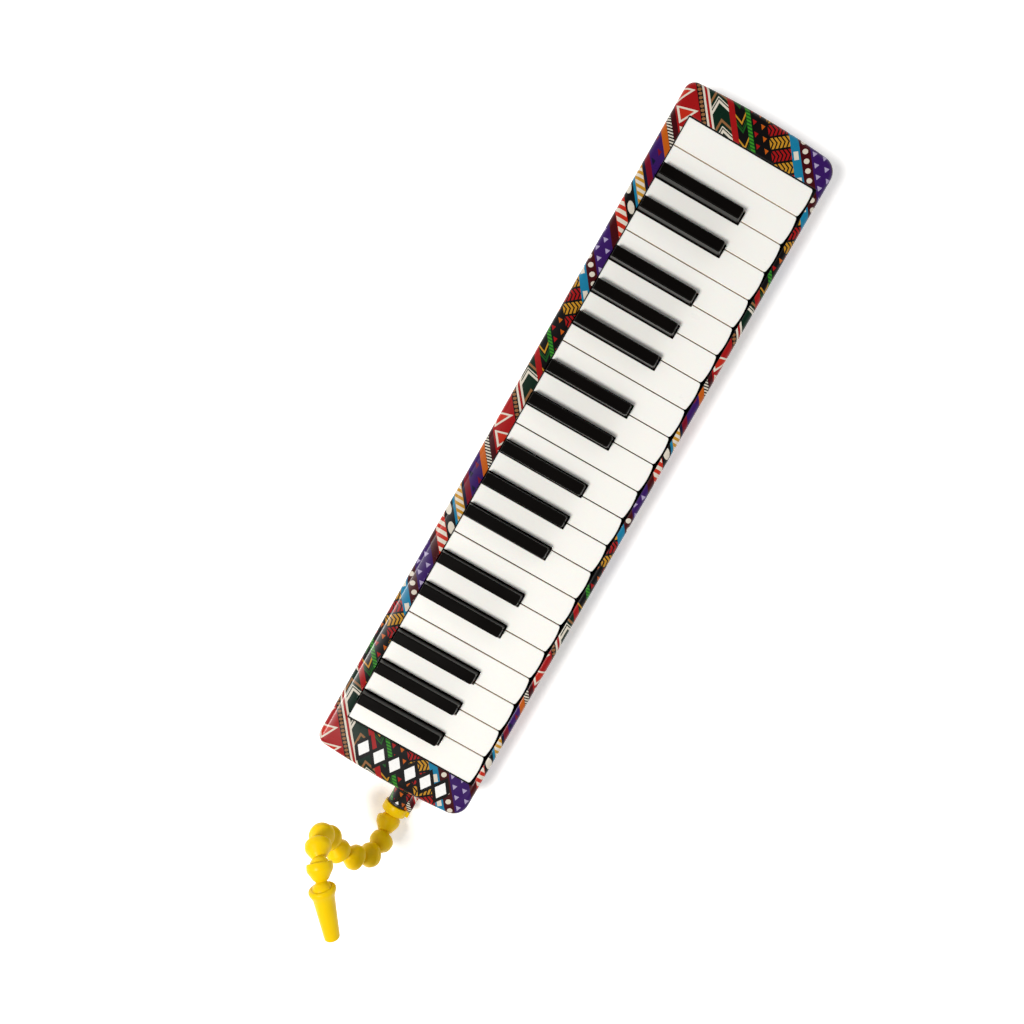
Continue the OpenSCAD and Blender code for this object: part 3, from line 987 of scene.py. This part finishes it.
def coil(bm, centre, z0, z1, r, wire, turns):
    """A closed wire swept round a helix, with its end turns lying flat."""
    per_turn, sides = 16, 6
    n = turns * per_turn
    rings = []
    for k in range(n + 1):
        share = k / n
        lead = 1.0 / turns
        rise = min(max((share - lead) / (1 - 2 * lead), 0), 1)
        z = z0 + wire + (z1 - z0 - 2 * wire) * rise
        a = 2 * math.pi * turns * share
        out = Vector((math.cos(a), math.sin(a), 0))
        middle = Vector((centre.x, centre.y, z)) + r * out
        rings.append([
            bm.verts.new(
                middle + wire * (math.cos(b) * out + math.sin(b) * Vector((0, 0, 1)))
            )
            for b in (2 * math.pi * s / sides for s in range(sides))
        ])
    for a, b in zip(rings, rings[1:]):
        join_rings(bm, a, b)
    bm.faces.new(reversed(rings[0]))
    bm.faces.new(rings[-1])


def make_springs():
    steel = metal("spring_wire", (0.60, 0.60, 0.62), 0.22)
    low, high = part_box("key_springs")
    y = (low.y + high.y) / 2
    # a pressed key leans, and meets the spring's front edge first
    for number, node in enumerate(KEY_NODES):
        x = JOINTS[node + "_press"]["pos_m"][0]
        bm = bmesh.new()
        coil(bm, Vector((x, y, 0)), low.z, high.z, 2.12 * MM, 0.26 * MM, 7)
        spring = finish_mesh(bm, f"{node}.spring", [steel], 60)
        add_piece(spring, "case", ["key_springs"] if number == 0 else ())
        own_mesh(spring)


# ---- hose


def yellow_material():
    """Semi-gloss yellow plastic with a slight colour drift and faint flow marks."""
    g = Graph("hose_yellow")
    drift = g.noise(60, 3)
    base = g.mix(drift, (0.76, 0.485, 0.0), (0.88, 0.595, 0.0))
    smudge = g.noise(160, 4, roughness=0.6)
    g.bump(g.noise(650, 3), 0.05, 0.25 * MM)
    return g.surface(
        base_color=base,
        roughness=g.blend(smudge, 0.26, 0.46),
        specular_ior_level=0.12,
        coat_weight=0.03,
        coat_roughness=0.12,
        subsurface_weight=0.08,
        subsurface_scale=0.002,
    )


AIR_R = 2.2 * MM
CUP_R = 5.9 * MM
BALL_R = 5.7 * MM
BALLS = [Vector(JOINTS[f"{n}_bend"]["pos_m"]) for n in LINKS + ["mouthpiece"]]
PITCH = (BALLS[1] - BALLS[0]).length


def cup_profile():
    """The socket's inside, from the air bore back to the mouth's edge."""
    start = math.degrees(math.asin(AIR_R / CUP_R))
    end = math.degrees(math.acos(-2 * MM / CUP_R))
    return arc_points(0, 0, CUP_R, start, end, 14)


def bell_profile():
    """The bell's outside, from its mouth forward: rounded rim, full barrel and shoulder."""
    return [
        (-2.0, 5.55), (-2.0, 6.5), (-1.9, 6.95), (-1.5, 7.28), (-1.0, 7.42),
        (-0.2, 7.5), (0.9, 7.5), (1.9, 7.42), (2.5, 7.25), (3.0, 6.95),
    ]


def ball_profile(centre):
    """The ball from its neck to its flat, bored tip."""
    start = 180 - math.degrees(math.asin(3.2 * MM / BALL_R))
    end = math.degrees(math.acos(4.5 * MM / BALL_R))
    points = arc_points(centre, 0, BALL_R, start, end, 18)
    tip = centre + 4.5 * MM
    return points + [(tip, 3.2 * MM), (tip - 0.4 * MM, AIR_R)]


def link_profile():
    """A link along its axis: cup, bell, narrowing shoulder, then the next ball."""
    shoulder = [
        (4.2, 6.2), (5.6, 5.33), (6.8, 4.6), (7.25, 4.3), (7.5, 4.0), (7.95, 3.5), (8.3, 3.2),
    ]
    return cup_profile() + in_mm(bell_profile()[1:] + shoulder) + ball_profile(PITCH)


def mouthpiece_profile(length):
    """The mouthpiece along its axis: cup, flared bell, long taper and rounded tip."""
    outside = in_mm([
        (-2.0, 6.7), (-1.85, 7.15), (-1.4, 7.55), (-0.8, 7.78), (0.2, 7.72),
        (1.0, 7.5), (2.0, 7.0), (3.2, 6.5), (4.5, 6.1), (9.0, 5.77), (16.0, 5.27),
        (23.0, 4.78), (28.0, 4.43),
    ])
    tip = in_mm([(0.9, 4.37), (0.3, 3.93), (0.05, 3.7), (0, 3.5), (0, 2.9)])
    tip = [(length - s, r) for s, r in tip]
    return cup_profile() + outside + tip + [(length - 0.4 * MM, AIR_R)]


def own_axis(node, start):
    """The direction from a joint to the middle of its turned node's far end."""
    coords = [v.co for v in frame["nodes"][node].data.vertices]
    reach = max((c - start).length for c in coords) - 1.5 * MM
    ends = [c for c in coords if (c - start).length > reach]
    return (sum(ends, Vector()) / len(ends) - start).normalized()


def turned_piece(node, profile, place, material):
    bm = bmesh.new()
    closed_lathe(bm, profile, 64, place)
    piece = finish_mesh(outward(bm), f"{node}.body", [material], 40)
    add_piece(piece, node, [node])


def make_hose():
    yellow = yellow_material()
    for node, ball, following in zip(LINKS, BALLS, BALLS[1:]):
        turned_piece(node, link_profile(), along(ball, following - ball), yellow)
    mouth = BALLS[-1]
    aim = own_axis("mouthpiece", mouth)
    tips = [(v.co - mouth).dot(aim) for v in frame["nodes"]["mouthpiece"].data.vertices]
    turned_piece("mouthpiece", mouthpiece_profile(max(tips)), along(mouth, aim), yellow)
    make_adapter(yellow, BALLS[0])


def make_adapter(yellow, ball):
    """Collar with a moulded lug, spigot into the blow socket, and the first ball."""
    low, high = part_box("hose_adapter")
    length = (high.x - ball.x) / MM
    collar1 = (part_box("blow_socket")[0].x - ball.x) / MM
    collar0 = collar1 - 6.2
    # the ball points away from the case, so its profile runs in -X
    ball_side = [(-s, r) for s, r in reversed(ball_profile(0))]
    body = ball_side + in_mm([
        (4.9, 3.2), (collar0, 3.2), (collar0, 6.9), (collar0 + 0.2, 7.6), (collar0 + 0.7, 8.0),
        (collar1 - 0.6, 8.0), (collar1 - 0.15, 7.8), (collar1, 7.3), (collar1, 4.9),
        (length - 0.5, 4.9), (length, 4.4), (length, 2.2),
    ])
    turned_piece("hose_adapter", body, along(ball, (1, 0, 0)), yellow)
    lug_low = (ball.x + (collar0 + 1.5) * MM, low.y, ball.z - 2 * MM)
    lug_high = (ball.x + (collar1 - 1.0) * MM, ball.y - 6 * MM, ball.z + 2 * MM)
    lug = box_object("hose_adapter.lug", lug_low, lug_high, 0.6 * MM, 4, yellow)
    add_piece(lug, "hose_adapter")


def make_blow_socket(film, black):
    """Printed stub with a black band at its end, and the printed guard beside it."""
    low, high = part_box("blow_socket")
    radius = 6.9
    length = (high.x - low.x) / MM
    bm = bmesh.new()
    layer = bm.loops.layers.uv.new("print")
    closed_lathe(bm, in_mm([
        (length, 5.0), (0.3, 5.0), (0, 5.3), (0, radius - 0.4), (0.15, radius - 0.12),
        (0.4, radius), (1.6, radius), (1.8, radius - 0.15), (2.0, radius),
        (length - 1.2, radius), (length - 1.2, 9), (length, 9),
    ]), 64, x_axis_at(low.x, SOCKET.y, SOCKET.z))
    band = low.x + 1.9 * MM
    flange = high.x - 1.3 * MM
    for f in bm.faces:
        middle = f.calc_center_median()
        out = math.hypot(middle.y - SOCKET.y, middle.z - SOCKET.z)
        if middle.x < band or out < 6 * MM or middle.x > flange:
            f.material_index = INNER
        for loop in f.loops:
            c = loop.vert.co
            turn = math.atan2(c.y - SOCKET.y, c.z - SOCKET.z)
            # at the seam, half a turn round, both signs mean the same place
            if abs(turn) > 3.1 and middle.y < SOCKET.y:
                turn = -abs(turn)
            loop[layer].uv = (c.x + 0.031, turn * radius * MM)
    stub = finish_mesh(outward(bm), "blow_socket.stub", [film, black], 40)
    add_piece(stub, "case", ["blow_socket"])
    bm = bmesh.new()
    guard_low = (low.x + 0.6 * MM, low.y, SOCKET.z - 6 * MM)
    guard_high = (-HALF_L - 0.2 * MM, SOCKET.y - 4.4 * MM, SOCKET.z + 6 * MM)
    rounded_box(bm, guard_low, guard_high, 0.8 * MM, 4)
    layer = bm.loops.layers.uv.new("print")
    for f in bm.faces:
        for loop in f.loops:
            c = loop.vert.co
            loop[layer].uv = (c.x * 1.3 + 0.012, c.y + c.z * 0.7)
    guard = finish_mesh(bm, "blow_socket.guard", [film], 40)
    add_piece(guard, "case")


# ---- inside and underside


def dress(node, material):
    """Give a CAD node its material."""
    mesh = frame["nodes"][node].data
    mesh.materials.clear()
    mesh.materials.append(material)


def make_inside():
    dress("wind_chest", plastic("chest_grey", (0.050, 0.050, 0.055), 0.5, grain=0.2, grain_scale=1300))
    dress("chest_cover", plastic("cover_grey", (0.09, 0.09, 0.095), 0.5, grain=0.2, grain_scale=1300))
    dress("reed_plates", metal("plate_brass", (0.78, 0.56, 0.24), 0.30, (1, 12, 1)))
    dress("reeds", metal("reed_bronze", (0.86, 0.58, 0.32), 0.20, (12, 1, 1)))
    dress("key_rod", metal("rod_steel", (0.66, 0.66, 0.67), 0.18, (0.05, 4, 4)))


def make_stop_rail(black, felt):
    """The rib that stops the keys, with its felt strip."""
    x0, x1 = KEYS_X0 + 1.6 * MM, KEYS_X1 - 1.6 * MM
    y0, y1 = -41.6 * MM, -39.2 * MM
    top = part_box("bottom_case")[1].z
    seam = top - 1.2 * MM
    inset = 0.1 * MM
    rail = box_object("stop_rail", (x0, y0, 1.5 * MM), (x1, y1, seam), 0.3 * MM, 2, black, 40)
    add_piece(rail, "case")
    felt_high = (x1, y1 - inset, top - inset)
    strip = box_object("stop_felt", (x0, y0 + inset, seam), felt_high, 0.3 * MM, 3, felt, 40)
    add_piece(strip, "case")


SHANK_R = 1.4 * MM
SCREW_STEPS = 48


def cross_head(bm, place, r, depth, height):
    """A pan head with a cross recess, its rim at local z = 0 and its underside at -height."""
    outer = lathe(bm, [
        (-height, SHANK_R), (-height, r), (-height * 0.35, r), (-height * 0.1, r * 0.93),
        (0, r * 0.78),
    ], SCREW_STEPS, place)
    # The cross: arms of half width w and reach a, narrowing to a smaller flat floor
    w, a = 0.16 * r, 0.56 * r
    narrowing = 0.55
    cross, floor = [], []
    for q in range(4):
        turn = Matrix.Rotation(math.pi / 2 * q, 3, "Z")
        for corner in ((a, -w, 0), (a, w, 0), (w, w, 0)):
            edge = turn @ Vector(corner)
            sunk = edge * narrowing - Vector((0, 0, depth))
            cross.append(bm.verts.new(place @ edge))
            floor.append(bm.verts.new(place @ sunk))
    n = len(cross)
    for k in range(n):
        m = (k + 1) % n
        bm.faces.new((cross[k], floor[k], floor[m], cross[m]))
    bm.faces.new(floor)
    edges = []
    for ring in (outer[-1], cross):
        for pair in zip(ring, ring[1:] + ring[:1]):
            edges.append(bm.edges.get(pair) or bm.edges.new(pair))
    bmesh.ops.triangle_fill(bm, edges=edges, use_beauty=True)
    return outer[0]


def make_screws():
    steel = metal("screw_zinc", (0.62, 0.61, 0.58), 0.28)
    pitch, root = 1.1 * MM, 1.05 * MM
    bm = bmesh.new()
    for x, y, head, tip in screw_places():
        in_strap = head < STRAP_LOW.z
        height, depth = (0.7 * MM, 0.45 * MM) if in_strap else (2.0 * MM, 1.1 * MM)
        place = along((x, y, head), (0, 0, -1))
        first = cross_head(bm, place, 3 * MM, depth, height)
        # Threaded shank: a saw-tooth profile with a point
        length = tip - head - height
        s = 0.9 * MM
        rows = [(-height - s, root)]
        while s + pitch < length - 2.2 * MM:
            rows.append((-height - s - pitch * 0.5, SHANK_R))
            rows.append((-height - s - pitch, root))
            s += pitch
        rows.append((-height - length, 0))
        join_rings(bm, first, lathe(bm, rows, SCREW_STEPS, place)[0])
    screws = finish_mesh(outward(bm), "case_screws.set", [steel], 40)
    add_piece(screws, "case", ["case_screws"])


def webbing_material():
    g = Graph("strap_webbing")
    where = g.place()
    split = g.node("ShaderNodeSeparateXYZ")
    g.put(split.inputs[0], where)
    x = g.mul(split.outputs[0], 1 / (0.9 * MM))
    y = g.mul(split.outputs[1], 1 / (1.3 * MM))
    row = g.math("FLOOR", y)
    shift = g.mul(g.math("MODULO", row, 2), 0.5)
    rib = g.math("SINE", g.mul(g.add(x, shift), 2 * math.pi))
    strand = g.math("SINE", g.mul(g.math("FRACT", y), math.pi))
    height = g.mul(g.add(g.mul(rib, 0.5), 0.5), strand)
    fibre = g.noise(2200, 3)
    # painted shade: the webbing is darker in the hollows of its weave and lighter on its ridges,
    # following the bump height, and darker where the fibre noise is low
    base = g.mix(g.mul(height, fibre), (0.010, 0.010, 0.011), (0.075, 0.075, 0.080))
    g.bump(g.add(height, g.mul(fibre, 0.3)), 0.8, 0.3 * MM)
    return g.surface(base_color=base, roughness=0.85, sheen_weight=0.35, sheen_roughness=0.4)


def make_strap(black):
    """Webbing with stitches along both edges and a plastic plate at each end."""
    web = webbing_material()
    low, high = STRAP_LOW, STRAP_HIGH
    thick = high.z - low.z
    web_low = (low.x + 4 * MM, low.y + 0.5 * MM, low.z + 0.25 * thick)
    web_high = (high.x - 4 * MM, high.y - 0.5 * MM, high.z - 0.02 * MM)
    strap = box_object("hand_strap.web", web_low, web_high, 0.5 * MM, 4, web)
    add_piece(strap, "case", ["hand_strap"])
    plate_l = 20 * MM
    plate_top = low.z + 0.55 * thick
    for side, x in (("low", low.x), ("high", high.x - plate_l)):
        corners = (x, low.y, low.z), (x + plate_l, high.y, plate_top)
        plate = box_object(f"hand_strap.plate_{side}", *corners, 0.45 * MM, 4, black)
        add_piece(plate, "case")
    thread = plastic("stitch_thread", (0.20, 0.20, 0.21), 0.8, grain=0.3, grain_scale=2500)
    bm = bmesh.new()
    step = 2.6 * MM
    for y in (low.y + 2.2 * MM, high.y - 2.2 * MM):
        x = low.x + 23 * MM
        while x < high.x - 24 * MM:
            rounded_box(
                bm, (x, y - 0.25 * MM, low.z + 0.1 * thick),
                (x + 1.7 * MM, y + 0.25 * MM, low.z + 0.4 * thick), 0.12 * MM, 2,
            )
            x += step
    stitches = finish_mesh(bm, "hand_strap.stitches", [thread], 60)
    add_piece(stitches, "case")


def make_drain_valve():
    """Push button with a flange, its stem and sealing disc, and the return spring."""
    black = plastic("button_black", (0.016, 0.016, 0.017), 0.33, coat=0.2)
    rubber = plastic("seal_rubber", (0.035, 0.033, 0.033), 0.75, grain=0.3)
    steel = metal("valve_spring_wire", (0.60, 0.60, 0.62), 0.22)
    low, high = VALVE_LOW, VALVE_HIGH
    place = x_axis_at(low.x, VALVE_Y, VALVE_Z)
    # along the valve in millimetres: the cap's inner end, its flange and the button's face
    cap_x = HALF_L - 9 * MM
    cap = (cap_x - low.x) / MM
    flange = (HALF_L - 5.2 * MM - low.x) / MM
    face = (high.x - low.x) / MM
    bm = bmesh.new()
    lathe(bm, in_mm([
        (0, 0), (0, 3.2), (0.15, 3.4), (0.85, 3.4), (1.0, 3.2), (1.0, 1.6),
        (cap, 1.6), (cap, 3.8), (cap + 0.2, 4.0), (flange, 4.0), (flange, 5.2),
        (flange + 1, 5.2), (flange + 1, 4.0), (face - 1.0, 4.0), (face - 0.55, 3.88),
        (face - 0.2, 3.55), (face - 0.03, 3.0), (face, 2.4), (face - 0.25, 1.6), (face - 0.4, 0),
    ]), 56, place)
    button = finish_mesh(outward(bm), "drain_valve.button", [black], 40)
    add_piece(button, "drain_valve", ["drain_valve"])
    bm = bmesh.new()
    ring = in_mm([(1.0, 2.0), (1.0, 3.1), (1.06, 3.2), (1.08, 3.0), (1.08, 2.0)])
    closed_lathe(bm, ring, 48, place)
    seal = finish_mesh(outward(bm), "drain_valve.seal", [rubber], 40)
    add_piece(seal, "drain_valve")
    chest_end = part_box("wind_chest")[1].x
    anchor = (chest_end, VALVE_Y, VALVE_Z)
    bm = bmesh.new()
    coil(bm, Vector((0, 0, 0)), 0, cap_x - chest_end, 2.5 * MM, 0.25 * MM, 6)
    spring = finish_mesh(bm, "drain_valve.spring", [steel], 60)
    spring.matrix_world = x_axis_at(*anchor)
    add_piece(spring, "case")
    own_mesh(spring)


# ---- build

add_camera()
add_stage()
film, black = make_shells()
felt = make_keys()
make_springs()
make_hose()
make_blow_socket(film, black)
make_inside()
make_stop_rail(black, felt)
make_screws()
make_strap(black)
make_drain_valve()
